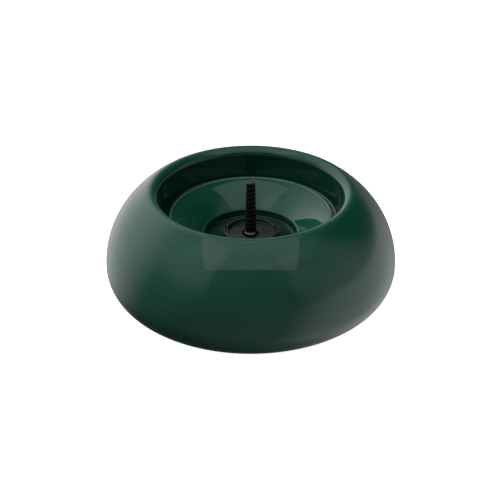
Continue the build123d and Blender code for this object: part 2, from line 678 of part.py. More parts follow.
def plate_washers():
    """Flat washers under the heads of the plate screws."""
    high_z = HOUSING_FLANGE_LOW_Z
    washer = ring(SCREW_R + 0.2, SCREW_HEAD_R + 0.8, high_z - WASHER_THICKNESS, high_z)
    return around(Pos(KEY_CIRCLE_R, 0, 0) * washer, KEY_COUNT, KEY_START_DEG)


def shell_screws():
    """Screws up through the floor pan into the shell's posts."""
    tip_z = PAN_LOW_Z + PAN_THICKNESS + 14.0
    screw = Pos(POST_CIRCLE_R, 0, 0) * cross_head_screw(PAN_LOW_Z - SCREW_HEAD_HEIGHT, tip_z)
    return around(screw, POST_COUNT)


def housing_bolts():
    """Hexagon bolts that hold the housing down on the deck."""
    seat_z = DECK_Z + HOUSING_BASE_THICKNESS
    bolt = hexagon(BOLT_HEAD_FLATS, seat_z, seat_z + BOLT_HEAD_HEIGHT)
    bolt += ring(0, BOLT_R, BOLT_LOW_Z, seat_z + 1)
    return around(Pos(BOLT_CIRCLE_R, 0, 0) * bolt, BOLT_COUNT)


NODES = {
    "outer_shell": outer_shell,
    "water_bowl": water_bowl,
    "rim_seal": rim_seal,
    "trunk_plate": trunk_plate,
    "trunk_spike": trunk_spike,
    "spike_collar": spike_collar,
    "collar_pin": collar_pin,
    "shaft_seal": shaft_seal,
    "hub_gasket": hub_gasket,
    "spindle_housing": spindle_housing,
    "bearing_sleeve": bearing_sleeve,
    "thrust_washer": thrust_washer,
    "retaining_ring": retaining_ring,
    "drive_wheel": drive_wheel,
    "wheel_washer": wheel_washer,
    "wheel_nut": wheel_nut,
    "base_frame": base_frame,
    "rubber_feet": rubber_feet,
    "plate_screws": plate_screws,
    "plate_washers": plate_washers,
    "shell_screws": shell_screws,
    "housing_bolts": housing_bolts,
}


def main():
    os.makedirs("parts", exist_ok=True)
    for name, build in NODES.items():
        made = build()
        solids = made if isinstance(made, list) else [made]
        whole = Compound(children=[solid for shape in solids for solid in shape.solids()])
        export_step(whole, f"parts/{name}.step")


main()
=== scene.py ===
import math

import bmesh
import bpy
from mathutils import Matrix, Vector


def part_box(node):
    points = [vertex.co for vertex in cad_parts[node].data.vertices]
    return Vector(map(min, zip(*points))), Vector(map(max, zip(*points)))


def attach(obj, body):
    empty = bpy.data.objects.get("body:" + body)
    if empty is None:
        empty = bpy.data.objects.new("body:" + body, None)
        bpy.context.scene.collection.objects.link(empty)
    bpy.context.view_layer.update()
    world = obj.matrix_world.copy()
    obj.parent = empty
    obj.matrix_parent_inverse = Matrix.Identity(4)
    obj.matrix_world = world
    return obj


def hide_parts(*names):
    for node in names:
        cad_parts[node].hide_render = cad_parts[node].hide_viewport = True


# Looks of a water-holding tree stand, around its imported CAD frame. Metres, +Z up.

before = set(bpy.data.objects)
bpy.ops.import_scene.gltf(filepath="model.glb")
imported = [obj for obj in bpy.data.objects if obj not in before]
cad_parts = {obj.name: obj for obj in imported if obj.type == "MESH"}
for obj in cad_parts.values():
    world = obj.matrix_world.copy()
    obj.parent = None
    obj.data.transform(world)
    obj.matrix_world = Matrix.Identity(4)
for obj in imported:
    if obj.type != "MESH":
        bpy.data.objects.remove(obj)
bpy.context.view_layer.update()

MM = 0.001
COLUMNS = 288
SHARP_DEG = 32.0

# Camera: a long lens, looking down on the stand from the front.
CAMERA_PITCH_DEG = 30.13
CAMERA_DISTANCE = 1.668
CAMERA_AIM_Z = 0.0474
CAMERA_LENS = 93.6
CAMERA_SENSOR = 36.0
CAMERA_SHIFT_X = -0.0014

# The shell's section, from the CAD box and the moulding's own radii.
SHELL_LOW, SHELL_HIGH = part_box("outer_shell")
BODY_R = SHELL_HIGH.x
SHELL_FOOT_Z = SHELL_LOW.z
SHELL_WALL = 3.0 * MM
EQUATOR_Z = 35.6 * MM
DOME_CENTRE_R = 56.4 * MM
DOME_RISE = 119.9 * MM
DOME_END_DEG = 54.0
LIP_ROLL_R = 11.0 * MM
TUCK_R = 41.7 * MM
COLLAR_DRAFT_DEG = 10.0
LEDGE_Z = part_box("rim_seal")[0].z
LEDGE_CORNER_R = 3.0 * MM
LEDGE_INNER_R = 100.4 * MM
LEDGE_LIP_DEPTH = 8.0 * MM
POST_COUNT = 6
POST_CIRCLE_R = 150.0 * MM
POST_R = 5.5 * MM
POST_LOW_Z = 7.0 * MM
POST_TOP_Z = 34.0 * MM
POST_PILOT_R = 2.05 * MM
POST_PILOT_Z = 22.0 * MM

# The bowl's section.
BOWL_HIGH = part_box("water_bowl")[1]
BOWL_WALL = 2.8 * MM
BEAD_R = 2.2 * MM
BEAD_CENTRE_R = BOWL_HIGH.x - BEAD_R
BEAD_TOP_Z = BOWL_HIGH.z
BEAD_END_DEG = 172.0
BOWL_BULGE = 3.0 * MM
STEP_OUTER = Vector((61.0 * MM, 76.3 * MM))
STEP_INNER = Vector((58.4 * MM, 75.7 * MM))
STEP_ROUND = 1.6 * MM
WELL_FLOOR_R = 57.0 * MM
WELL_FLOOR_Z = 66.5 * MM
WELL_ROUND = 1.0 * MM
HUB_R = 35.5 * MM
HUB_SLOPE = 1.0 * MM
HUB_TOP_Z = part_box("shaft_seal")[1].z + 0.1 * MM
HUB_HOLE_R = 11.5 * MM

# The spindle: coarse tapered screw, journal, clip groove, hexagonal drive and stub.
SPIKE_LOW, SPIKE_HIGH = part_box("trunk_spike")
THREAD_LOW_Z = 77.5 * MM
THREAD_PITCH = 6.0 * MM
THREAD_DEPTH = 0.5 * MM
THREAD_FOOT = 3.4 * MM
THREAD_CREST = 0.7 * MM
THREAD_BASE_R = SPIKE_HIGH.x
THREAD_TIP_R = 5.9 * MM
TIP_CHAMFER = 0.4 * MM
JOURNAL_R = 6.0 * MM
JOURNAL_LOW_Z = 29.0 * MM
GROOVE_R = 5.3 * MM
GROOVE_LOW_Z = 30.6 * MM
GROOVE_HIGH_Z = 31.9 * MM
DRIVE_FLATS = 10.0 * MM
DRIVE_LOW_Z = 12.0 * MM
STUB_R = 4.0 * MM
SPIKE_COLUMNS = 120

# The collar pinned on the spindle, with a running gap around its journal.
COLLAR_LOW, COLLAR_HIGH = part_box("spike_collar")
COLLAR_R = COLLAR_HIGH.x
COLLAR_BORE_R = JOURNAL_R + 0.02 * MM
COLLAR_CHAMFER = 1.8 * MM

# Studio lights: a tilted softbox overhead and, on the left, a key light without reflections.
OVERHEAD_CENTRE = (0.0, 0.69, 4.33)
OVERHEAD_AIM = (0.0, 3.87, 0.0)
OVERHEAD_WIDTH = 3.7
OVERHEAD_DEPTH = 6.6
OVERHEAD_RADIANCE = 0.5
KEY_CENTRE = (-3.0, 0.4, 4.9)
KEY_SIDE = 4.0
KEY_RADIANCE = 4.6
FLOOR_HALF = 30.0
FLOOR_GLOW = 0.95


# ---------- outlines ----------


def polar(centre, radius, degrees):
    """The point at that radius and angle about a centre."""
    angle = math.radians(degrees)
    return (centre[0] + radius * math.cos(angle), centre[1] + radius * math.sin(angle))


def arc(centre, radius, start_deg, end_deg, steps):
    """Points along an arc, with both its ends."""
    turn = (end_deg - start_deg) / steps
    return [polar(centre, radius, start_deg + turn * step) for step in range(steps + 1)]


def rounded(corners, steps=5):
    """A closed outline from (radius, height, rounding) corners."""
    points = []
    count = len(corners)
    for index, (x, y, size) in enumerate(corners):
        here = Vector((x, y))
        if size <= 0:
            points.append((x, y))
            continue
        before = (Vector(corners[index - 1][:2]) - here).normalized()
        after = (Vector(corners[(index + 1) % count][:2]) - here).normalized()
        half = before.angle(after) / 2
        reach = size / math.tan(half)
        centre = here + (before + after).normalized() * (size / math.sin(half))
        first = here + before * reach - centre
        last = here + after * reach - centre
        for step in range(steps + 1):
            share = step / steps
            swing = first.lerp(last, share).normalized() * size
            points.append(tuple(centre + swing))
    return points


def dome_point(degrees, depth=0.0):
    """A point of the dome's ellipse, moved in by depth, and its normal's angle in degrees."""
    angle = math.radians(degrees)
    half_width = BODY_R - DOME_CENTRE_R
    normal = Vector((math.cos(angle) / half_width, math.sin(angle) / DOME_RISE)).normalized()
    x = DOME_CENTRE_R + half_width * math.cos(angle) - depth * normal.x
    y = EQUATOR_Z + DOME_RISE * math.sin(angle) - depth * normal.y
    return (x, y), math.degrees(math.atan2(normal.y, normal.x))


def shell_outline():
    """The shell's half section: tuck, dome, rolled lip, collar wall, ledge, and back inside."""
    tuck_centre = (BODY_R - TUCK_R, EQUATOR_Z)
    mid_wall_r = TUCK_R - SHELL_WALL / 2
    drop = EQUATOR_Z - SHELL_FOOT_Z - SHELL_WALL / 2
    tuck_deg = math.degrees(math.asin(drop / mid_wall_r))
    nose_centre = polar(tuck_centre, mid_wall_r, -tuck_deg)
    roll_centre, normal_deg = dome_point(DOME_END_DEG, LIP_ROLL_R)
    wall_deg = 180 - COLLAR_DRAFT_DEG
    wall_top = polar(roll_centre, LIP_ROLL_R, wall_deg)
    lean = math.tan(math.radians(COLLAR_DRAFT_DEG))
    corner_z = LEDGE_Z + LEDGE_CORNER_R
    corner_side = LEDGE_CORNER_R / math.cos(math.radians(COLLAR_DRAFT_DEG))
    corner = (wall_top[0] - (wall_top[1] - corner_z) * lean - corner_side, corner_z)
    corner_out_r = LEDGE_CORNER_R + SHELL_WALL
    under_z = LEDGE_Z - SHELL_WALL
    lip_low_z = LEDGE_Z - LEDGE_LIP_DEPTH
    flank_steps = 72
    flank = [DOME_END_DEG * step / flank_steps for step in range(1, flank_steps)]

    points = arc(tuck_centre, TUCK_R, -tuck_deg, 0, 36)
    points += [dome_point(degrees)[0] for degrees in flank]
    points += arc(roll_centre, LIP_ROLL_R, normal_deg, wall_deg, 36)
    points += arc(corner, LEDGE_CORNER_R, -COLLAR_DRAFT_DEG, -90, 10)
    points += [
        (LEDGE_INNER_R + 0.4 * MM, LEDGE_Z),
        (LEDGE_INNER_R, LEDGE_Z - 0.4 * MM),
        (LEDGE_INNER_R, lip_low_z),
        (LEDGE_INNER_R + SHELL_WALL, lip_low_z),
        (LEDGE_INNER_R + SHELL_WALL, under_z),
    ]
    points += arc(corner, corner_out_r, -90, -COLLAR_DRAFT_DEG, 8)
    points += arc(roll_centre, LIP_ROLL_R - SHELL_WALL, wall_deg, normal_deg, 16)
    points += [dome_point(degrees, SHELL_WALL)[0] for degrees in reversed(flank[::4])]
    points += arc(tuck_centre, TUCK_R - SHELL_WALL, 0, -tuck_deg, 12)
    points += arc(nose_centre, SHELL_WALL / 2, -tuck_deg - 180, -tuck_deg, 8)[1:-1]
    return points


def bowed(first, last, rise, steps):
    """Points along a circular arc that rises over its chord, to the right of the way."""
    chord = last - first
    along = chord.normalized()
    side = Vector((along.y, -along.x))
    half = chord.length / 2
    radius = (half**2 + rise**2) / (2 * rise)
    centre = first + chord / 2 + side * (rise - radius)
    swing = math.asin(half / radius)
    angles = [swing * (2 * step / steps - 1) for step in range(steps + 1)]
    return [centre + radius * (along * math.sin(angle) + side * math.cos(angle)) for angle in angles]


def bowl_outline():
    """The bowl's half section: beaded rim, bulging wall, step, well and hub, and back outside."""
    bead_centre = (BEAD_CENTRE_R, BEAD_TOP_Z - BEAD_R)
    seat_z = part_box("rim_seal")[1].z
    wall_top = Vector(polar(bead_centre, BEAD_R, BEAD_END_DEG))
    chord = wall_top - STEP_OUTER
    back = Vector((chord.y, -chord.x)).normalized() * BOWL_WALL
    wall_steps = 24
    wall = bowed(wall_top, STEP_OUTER, BOWL_BULGE, wall_steps)
    under = [point + back for point in reversed(wall)]

    corners = [(BOWL_HIGH.x, seat_z, 0)]
    corners += [(x, y, 0) for x, y in arc(bead_centre, BEAD_R, 0, BEAD_END_DEG, 24)[:-1]]
    corners += [(x, y, 0) for x, y in wall]
    corners += [
        (*STEP_INNER, STEP_ROUND),
        (WELL_FLOOR_R, WELL_FLOOR_Z, WELL_ROUND),
        (HUB_R + HUB_SLOPE, WELL_FLOOR_Z, 1.5 * MM),
        (HUB_R, HUB_TOP_Z, 0.8 * MM),
        (HUB_HOLE_R, HUB_TOP_Z, 0),
        (HUB_HOLE_R, HUB_TOP_Z - BOWL_WALL, 0),
        (HUB_R - BOWL_WALL, HUB_TOP_Z - BOWL_WALL, 0),
        (HUB_R - BOWL_WALL, WELL_FLOOR_Z - BOWL_WALL, 0),
        (WELL_FLOOR_R + BOWL_WALL, WELL_FLOOR_Z - BOWL_WALL, WELL_ROUND),
    ]
    corners += [(x, y, 0) for x, y in under]
    corners.append((LEDGE_INNER_R + 0.6 * MM, seat_z, 0))
    return rounded(corners, 8)


def thread_rise(phase):
    """The thread ridge's height, 0 to 1, at that share of a pitch."""
    slope = (THREAD_FOOT - THREAD_CREST) / 2 / THREAD_PITCH
    half_foot = THREAD_FOOT / THREAD_PITCH / 2
    from_middle = abs(phase % 1.0 - half_foot)
    share = min(max((half_foot - from_middle) / slope, 0.0), 1.0)
    return share * share * (3 - 2 * share)


def thread_radius(height, angle):
    """The tapered screw's radius. Its one ridge climbs a pitch each turn and fades out at the tip."""
    share = (height - THREAD_LOW_Z) / (SPIKE_HIGH.z - THREAD_LOW_Z)
    crest_r = THREAD_BASE_R + (THREAD_TIP_R - THREAD_BASE_R) * share
    phase = (height - THREAD_LOW_Z) / THREAD_PITCH - angle / (2 * math.pi)
    fade_in = min((height - THREAD_LOW_Z) / (0.5 * THREAD_PITCH), 1.0)
    fade_out = min((SPIKE_HIGH.z - TIP_CHAMFER - height) / (0.5 * THREAD_PITCH), 1.0)
    return crest_r - THREAD_DEPTH * (1 - thread_rise(phase) * fade_in * fade_out)


def hexagon_radius(angle):
    """The hexagonal drive's radius at that angle, with corners at 0, 60 and so on."""
    off_flat = math.radians(math.degrees(angle) % 60 - 30)
    return DRIVE_FLATS / 2 / math.cos(off_flat)


# ---------- meshes ----------


def bridge(mesh, low, high, columns):
    """Faces between two rings, either of which may be a single point."""
    for column in range(columns):
        after = column + 1
        corners = [
            low[column % len(low)],
            low[after % len(low)],
            high[after % len(high)],
            high[column % len(high)],
        ]
        corners = list(dict.fromkeys(corners))
        if len(corners) > 2:
            mesh.faces.new(corners)


def lathe(mesh, outline, columns=COLUMNS, centre=(0.0, 0.0)):
    """Adds to the mesh a closed outline turned about an upright axis."""
    rings = []
    for radius, height in outline:
        if radius < 0.01 * MM:
            rings.append([mesh.verts.new((centre[0], centre[1], height))])
            continue
        ring = []
        for column in range(columns):
            angle = 2 * math.pi * column / columns
            x = centre[0] + radius * math.cos(angle)
            y = centre[1] + radius * math.sin(angle)
            ring.append(mesh.verts.new((x, y, height)))
        rings.append(ring)
    for low, high in zip(rings, rings[1:] + rings[:1]):
        bridge(mesh, low, high, columns)


def make_object(name, mesh, sharp_deg=SHARP_DEG):
    """A smooth-shaded object from the mesh, with edges sharper than the limit kept crisp."""
    bmesh.ops.recalc_face_normals(mesh, faces=mesh.faces)
    data = bpy.data.meshes.new(name)
    mesh.to_mesh(data)
    mesh.free()
    data.shade_smooth()
    data.set_sharp_from_angle(angle=math.radians(sharp_deg))
    made = bpy.data.objects.new(name, data)
    bpy.context.scene.collection.objects.link(made)
    return made


def stand_in(made, body, material_slot, material, *nodes):
    """The piece takes the place of those CAD nodes and moves with their body."""
    made.data.materials.append(material)
    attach(made, body)
    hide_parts(*nodes)
    return made


def make_shell(material):
    """Outer shell, with its screw posts inside."""
    mesh = bmesh.new()
    lathe(mesh, shell_outline())
    post = [
        (0, POST_TOP_Z),
        (POST_R, POST_TOP_Z),
        (POST_R, POST_LOW_Z),
        (POST_PILOT_R, POST_LOW_Z),
        (POST_PILOT_R, POST_PILOT_Z),
        (0, POST_PILOT_Z),
    ]
    for index in range(POST_COUNT):
        centre = polar((0, 0), POST_CIRCLE_R, index * 360 / POST_COUNT)
        lathe(mesh, post, 24, centre)
    return stand_in(make_object("shell", mesh), "stand", "shell_green", material, "outer_shell")


def make_bowl(material):
    """Water bowl."""
    mesh = bmesh.new()
    lathe(mesh, bowl_outline())
    return stand_in(make_object("bowl", mesh), "stand", "bowl_green", material, "water_bowl")


def make_spike(material):
    """Trunk spike in one piece, from its threaded stub up to its chamfered tip."""
    round_rows = [
        (SPIKE_LOW.z, STUB_R - 0.5 * MM),
        (SPIKE_LOW.z + 0.5 * MM, STUB_R),
        (DRIVE_LOW_Z, STUB_R),
    ]
    rows = [(height, lambda angle, radius=radius: radius) for height, radius in round_rows]
    rows += [(DRIVE_LOW_Z, hexagon_radius), (JOURNAL_LOW_Z, hexagon_radius)]
    journal_rows = [
        (JOURNAL_LOW_Z, JOURNAL_R),
        (GROOVE_LOW_Z, JOURNAL_R),
        (GROOVE_LOW_Z, GROOVE_R),
        (GROOVE_HIGH_Z, GROOVE_R),
        (GROOVE_HIGH_Z, JOURNAL_R),
        (THREAD_LOW_Z - 1.0 * MM, JOURNAL_R),
    ]
    rows += [(height, lambda angle, radius=radius: radius) for height, radius in journal_rows]
    chamfer_z = SPIKE_HIGH.z - TIP_CHAMFER
    steps = round((chamfer_z - THREAD_LOW_Z) / (THREAD_PITCH / 24))
    for step in range(steps + 1):
        height = THREAD_LOW_Z + (chamfer_z - THREAD_LOW_Z) * step / steps
        rows.append((height, lambda angle, height=height: thread_radius(height, angle)))
    tip_r = thread_radius(chamfer_z, 0)
    for share in (0.3, 0.7, 1.0):
        radius = tip_r - TIP_CHAMFER * (1 - math.cos(share * math.pi / 2))
        height = chamfer_z + TIP_CHAMFER * math.sin(share * math.pi / 2)
        rows.append((height, lambda angle, radius=radius: radius))

    mesh = bmesh.new()
    rings = [[mesh.verts.new((0, 0, SPIKE_LOW.z))]]
    for height, radius_at in rows:
        ring = []
        for column in range(SPIKE_COLUMNS):
            angle = 2 * math.pi * column / SPIKE_COLUMNS
            radius = radius_at(angle)
            ring.append(mesh.verts.new((radius * math.cos(angle), radius * math.sin(angle), height)))
        rings.append(ring)
    rings.append([mesh.verts.new((0, 0, SPIKE_HIGH.z))])
    for low, high in zip(rings, rings[1:]):
        bridge(mesh, low, high, SPIKE_COLUMNS)
    return stand_in(make_object("spike", mesh, 40.0), "spindle", "spike_black", material, "trunk_spike")


def make_collar(material):
    """Satin collar with a chamfered top."""
    outline = rounded(
        [
            (COLLAR_BORE_R, COLLAR_LOW.z, 0),
            (COLLAR_R, COLLAR_LOW.z, 0.2 * MM),
            (COLLAR_R, COLLAR_HIGH.z - COLLAR_CHAMFER, 0.2 * MM),
            (COLLAR_R - COLLAR_CHAMFER, COLLAR_HIGH.z, 0.2 * MM),
            (COLLAR_BORE_R, COLLAR_HIGH.z, 0.15 * MM),
        ]
    )
    mesh = bmesh.new()
    lathe(mesh, outline, 96)
    made = make_object("collar", mesh)
    return stand_in(made, "spindle", "spike_black", material, "spike_collar")


# ---------- materials ----------


class Shader:
    """A material's node tree, with short calls to add and link nodes."""

    def __init__(self, name):
        self.material = bpy.data.materials.new(name)
        self.material.use_nodes = True
        self.tree = self.material.node_tree
        self.surface = self.tree.nodes["Principled BSDF"]
        self.place = self.add("ShaderNodeTexCoord").outputs["Object"]
        split = self.add("ShaderNodeSeparateXYZ")
        self.link(self.place, split.inputs["Vector"])
        self.height = split.outputs["Z"]

    def add(self, kind, **settings):
        """A new node, with its settings."""
        made = self.tree.nodes.new(kind)
        for key, value in settings.items():
            setattr(made, key, value)
        return made

    def link(self, output, target):
        """Joins an output to an input."""
        self.tree.links.new(output, target)

    def stretched(self, scale):
        """The object's coordinates, stretched by a scale for each axis."""
        mapping = self.add("ShaderNodeMapping")
        mapping.inputs["Scale"].default_value = scale
        self.link(self.place, mapping.inputs["Vector"])
        return mapping.outputs["Vector"]

    def from_axis(self):
        """The distance from the object's upright axis."""
        across = self.add("ShaderNodeVectorMath", operation="LENGTH")
        self.link(self.stretched((1.0, 1.0, 0.0)), across.inputs[0])
        return across.outputs["Value"]

    def noise(self, scale, detail=3.0, place=None):
        """Noise between 0 and 1, with that many features a metre."""
        made = self.add("ShaderNodeTexNoise")
        made.inputs["Scale"].default_value = scale
        made.inputs["Detail"].default_value = detail
        self.link(place or self.place, made.inputs["Vector"])
        return made.outputs["Fac"]

    def ranged(self, value, low, high, from_low=0.3, from_high=0.7):
        """The value, mapped to between low and high."""
        made = self.add("ShaderNodeMapRange")
        made.inputs["From Min"].default_value = from_low
        made.inputs["From Max"].default_value = from_high
        made.inputs["To Min"].default_value = low
        made.inputs["To Max"].default_value = high
        self.link(value, made.inputs["Value"])
        return made.outputs["Result"]

    def times(self, first, second):
        """The product of two outputs."""
        made = self.add("ShaderNodeMath", operation="MULTIPLY")
        self.link(first, made.inputs[0])
        self.link(second, made.inputs[1])
        return made.outputs[0]

    def mixed(self, share, first, second):
        """A colour between two, each a colour or an output."""
        made = self.add("ShaderNodeMix", data_type="RGBA")
        for socket, value in ((made.inputs[6], first), (made.inputs[7], second)):
            if isinstance(value, tuple):
                socket.default_value = (*value, 1.0)
            else:
                self.link(value, socket)
        self.link(share, made.inputs["Factor"])
        return made.outputs[2]

    def bump(self, height, distance, strength=1.0, after=None):
        """A bump from a height, over an earlier one."""
        made = self.add("ShaderNodeBump")
        made.inputs["Distance"].default_value = distance
        made.inputs["Strength"].default_value = strength
        self.link(height, made.inputs["Height"])
        if after is not None:
            self.link(after, made.inputs["Normal"])
        return made.outputs["Normal"]

    def set(self, **values):
        """Sets or links the surface's own inputs, named with _ for a space."""
        for key, value in values.items():
            socket = self.surface.inputs[key.replace("_", " ")]
            if isinstance(value, bpy.types.NodeSocket):
                self.link(value, socket)
            elif isinstance(value, tuple):
                socket.default_value = (*value, 1.0)
            else:
                socket.default_value = value


def glossy_green(name, deep, lit, painted_shade, wear_and_painted_highlight):
    """Moulded green plastic: pigment clouds and flow, a slightly wavy polished skin, scuffs and dust.

    It is painted deeper in colour, as shade, over the painted-shade share and paler, as a painted
    highlight, over the painted-highlight share.
    """
    shader = Shader(name)
    clouds = shader.noise(9.0, 4.0)
    flow = shader.noise(16.0, 3.0, shader.stretched((1.0, 1.0, 5.0)))
    body = shader.mixed(shader.ranged(clouds, 0.0, 1.0), deep, lit)
    darker = tuple(0.8 * value for value in deep)
    body = shader.mixed(shader.ranged(flow, 0.0, 0.5, 0.45, 0.7), body, darker)
    # Painted shade: a deeper copy of the colour where less light falls.
    body = shader.mixed(painted_shade(shader), body, tuple(0.45 * value for value in deep))
    # Painted highlight: a paler colour on the crests, where the light catches.
    body = shader.mixed(wear_and_painted_highlight(shader), body, tuple(0.035 + 1.4 * value for value in lit))
    dust = shader.ranged(shader.noise(2200.0, 2.0), 0.0, 0.25, 0.68, 0.8)
    body = shader.mixed(dust, body, (0.12, 0.14, 0.13))
    scuffs = shader.noise(240.0, 6.0, shader.stretched((1.0, 1.0, 6.0)))
    sink = shader.bump(shader.noise(7.0, 2.0, shader.stretched((1.0, 1.0, 2.5))), 0.5 * MM, 0.8)
    skin = shader.bump(shader.noise(130.0, 2.0), 0.02 * MM, 0.25, sink)
    skin = shader.bump(shader.noise(2600.0, 2.0), 0.01 * MM, 0.1, skin)
    shader.set(
        Base_Color=body,
        Roughness=shader.ranged(scuffs, 0.03, 0.075, 0.35, 0.75),
        Normal=skin,
        IOR=1.5,
    )
    return shader.material


def shell_painted_shade(shader):
    """1 on the collar's inner wall, painted darker as shade because it gets less light, and 0 on the
    outside.
    """
    return shader.ranged(shader.from_axis(), 1.0, 0.0, 115.0 * MM, 119.0 * MM)


def shell_painted_highlight(shader):
    """The lip's crest, painted paler as a highlight."""
    crest = shader.ranged(shader.height, 0.0, 0.25, SHELL_HIGH.z - 1.5 * MM, SHELL_HIGH.z)
    return shader.times(crest, shader.ranged(shader.noise(60.0, 5.0), 0.2, 1.0))


def bowl_painted_shade(shader):
    """1 down in the well, painted darker as shade, and 0 on the bowl's wall."""
    return shader.ranged(shader.height, 1.0, 0.0, STEP_INNER.y - 1.5 * MM, STEP_INNER.y - 0.3 * MM)


def bowl_painted_highlight(shader):
    """The top of the beaded rim, painted paler as a highlight."""
    crest = shader.ranged(shader.height, 0.0, 0.9, BEAD_TOP_Z - 2.2 * MM, BEAD_TOP_Z - 0.8 * MM)
    return shader.times(crest, shader.ranged(shader.noise(60.0, 5.0), 0.6, 1.0))


def black_plastic(name, colour, roughness, grain):
    """Glass-filled black plastic with a fine spark texture."""
    shader = Shader(name)
    lighter = tuple(1.7 * value + 0.004 for value in colour)
    body = shader.mixed(shader.ranged(shader.noise(45.0, 5.0), 0.0, 1.0), colour, lighter)
    texture = shader.bump(shader.noise(grain, 3.0), 0.05 * MM, 0.5)
    shader.set(
        Base_Color=body,
        Roughness=shader.ranged(shader.noise(120.0, 4.0), roughness - 0.08, roughness + 0.08),
        Normal=texture,
    )
    return shader.material


def metal(name, colour, roughness, grain=(1.0, 1.0, 12.0)):
    """Plated or cast metal with fine tooling marks and dull patches."""
    shader = Shader(name)
    darker = tuple(0.7 * value for value in colour)
    body = shader.mixed(shader.ranged(shader.noise(160.0, 5.0), 0.0, 1.0), darker, colour)
    marks = shader.noise(700.0, 4.0, shader.stretched(grain))
    shader.set(
        Base_Color=body,
        Metallic=1.0,
        Roughness=shader.ranged(marks, roughness - 0.07, roughness + 0.12),
        Normal=shader.bump(marks, 0.02 * MM, 0.4),
    )
    return shader.material


def blackened_steel(name, colour, worn_and_highlight_colour):
    """Oil-blackened steel, worn brighter on its thread crests, with a painted highlight on its flat
    top.
    """
    shader = Shader(name)
    crest = shader.ranged(shader.height, THREAD_BASE_R, THREAD_TIP_R, THREAD_LOW_Z, SPIKE_HIGH.z)
    below_crest = shader.add("ShaderNodeMath", operation="SUBTRACT")
    shader.link(crest, below_crest.inputs[0])
    shader.link(shader.from_axis(), below_crest.inputs[1])
    wear_and_painted_highlight = shader.ranged(below_crest.outputs[0], 0.25, 0.0, -0.05 * MM, 0.2 * MM)
    # Painted highlight: the flat top is made paler, where the light catches it.
    top = shader.ranged(shader.height, 0.0, 0.9, SPIKE_HIGH.z - 0.3 * MM, SPIKE_HIGH.z)
    wear_and_painted_top_highlight = shader.add("ShaderNodeMath", operation="MAXIMUM")
    shader.link(wear_and_painted_highlight, wear_and_painted_top_highlight.inputs[0])
    shader.link(top, wear_and_painted_top_highlight.inputs[1])
    patchy = shader.times(wear_and_painted_top_highlight.outputs[0], shader.ranged(shader.noise(420.0, 5.0), 0.2, 1.0))
    marks = shader.noise(900.0, 4.0)
    shader.set(
        Base_Color=shader.mixed(patchy, colour, worn_and_highlight_colour),
        Metallic=0.6,
        Roughness=shader.ranged(marks, 0.4, 0.62),
        Normal=shader.bump(marks, 0.03 * MM, 0.5),
    )
    return shader.material


def rubber(name, colour):
    """Moulded rubber with a bloom."""
    shader = Shader(name)
    lighter = tuple(1.6 * value + 0.01 for value in colour)
    body = shader.mixed(shader.ranged(shader.noise(70.0, 5.0), 0.0, 1.0), colour, lighter)
    shader.set(
        Base_Color=body,
        Roughness=shader.ranged(shader.noise(300.0, 3.0), 0.7, 0.9),
        Normal=shader.bump(shader.noise(1500.0, 3.0), 0.04 * MM, 0.5),
    )
    return shader.material


# ---------- studio ----------


def make_camera():
    """The camera, in front of the stand and above it."""
    data = bpy.data.cameras.new("camera")
    data.lens = CAMERA_LENS
    data.sensor_width = CAMERA_SENSOR
    data.shift_x = CAMERA_SHIFT_X
    camera = bpy.data.objects.new("camera", data)
    pitch = math.radians(CAMERA_PITCH_DEG)
    back = CAMERA_DISTANCE * math.cos(pitch)
    up = CAMERA_AIM_Z + CAMERA_DISTANCE * math.sin(pitch)
    camera.location = (0.0, -back, up)
    camera.rotation_euler = (math.pi / 2 - pitch, 0.0, 0.0)
    bpy.context.scene.collection.objects.link(camera)
    bpy.context.scene.camera = camera


def softbox(name, centre, aim, width, depth, radiance):
    """A rectangular area light of that radiance, facing its aim."""
    data = bpy.data.lights.new(name, "AREA")
    data.shape = "RECTANGLE"
    data.size = width
    data.size_y = depth
    data.energy = radiance * math.pi * width * depth
    light = bpy.data.objects.new(name, data)
    light.location = centre
    facing = Vector(aim) - Vector(centre)
    light.rotation_euler = facing.to_track_quat("-Z", "Y").to_euler()
    bpy.context.scene.collection.objects.link(light)
    return light


def make_floor():
    """A plain pale floor, clear from below so that the underside can be looked at."""
    mesh = bmesh.new()
    signs = [(-1, -1), (1, -1), (1, 1), (-1, 1)]
    mesh.faces.new([mesh.verts.new((x * FLOOR_HALF, y * FLOOR_HALF, 0)) for x, y in signs])
    floor = make_object("floor", mesh)
    shader = Shader("pale_floor")
    clouds = shader.ranged(shader.noise(3.0), 0.0, 1.0)
    shader.set(
        Base_Color=shader.mixed(clouds, (0.86, 0.86, 0.86), (0.9, 0.9, 0.9)),
        Roughness=0.9,
        Emission_Color=(1.0, 1.0, 1.0),
        Emission_Strength=FLOOR_GLOW,
    )
    side = shader.add("ShaderNodeNewGeometry")
    clear = shader.add("ShaderNodeBsdfTransparent")
    either = shader.add("ShaderNodeMixShader")
    shader.link(side.outputs["Backfacing"], either.inputs["Fac"])
    shader.link(shader.surface.outputs["BSDF"], either.inputs[1])
    shader.link(clear.outputs["BSDF"], either.inputs[2])
    shader.link(either.outputs["Shader"], shader.tree.nodes["Material Output"].inputs["Surface"])
    floor.data.materials.append(shader.material)
    floor.visible_glossy = False
    floor.visible_diffuse = False
    floor.visible_shadow = False


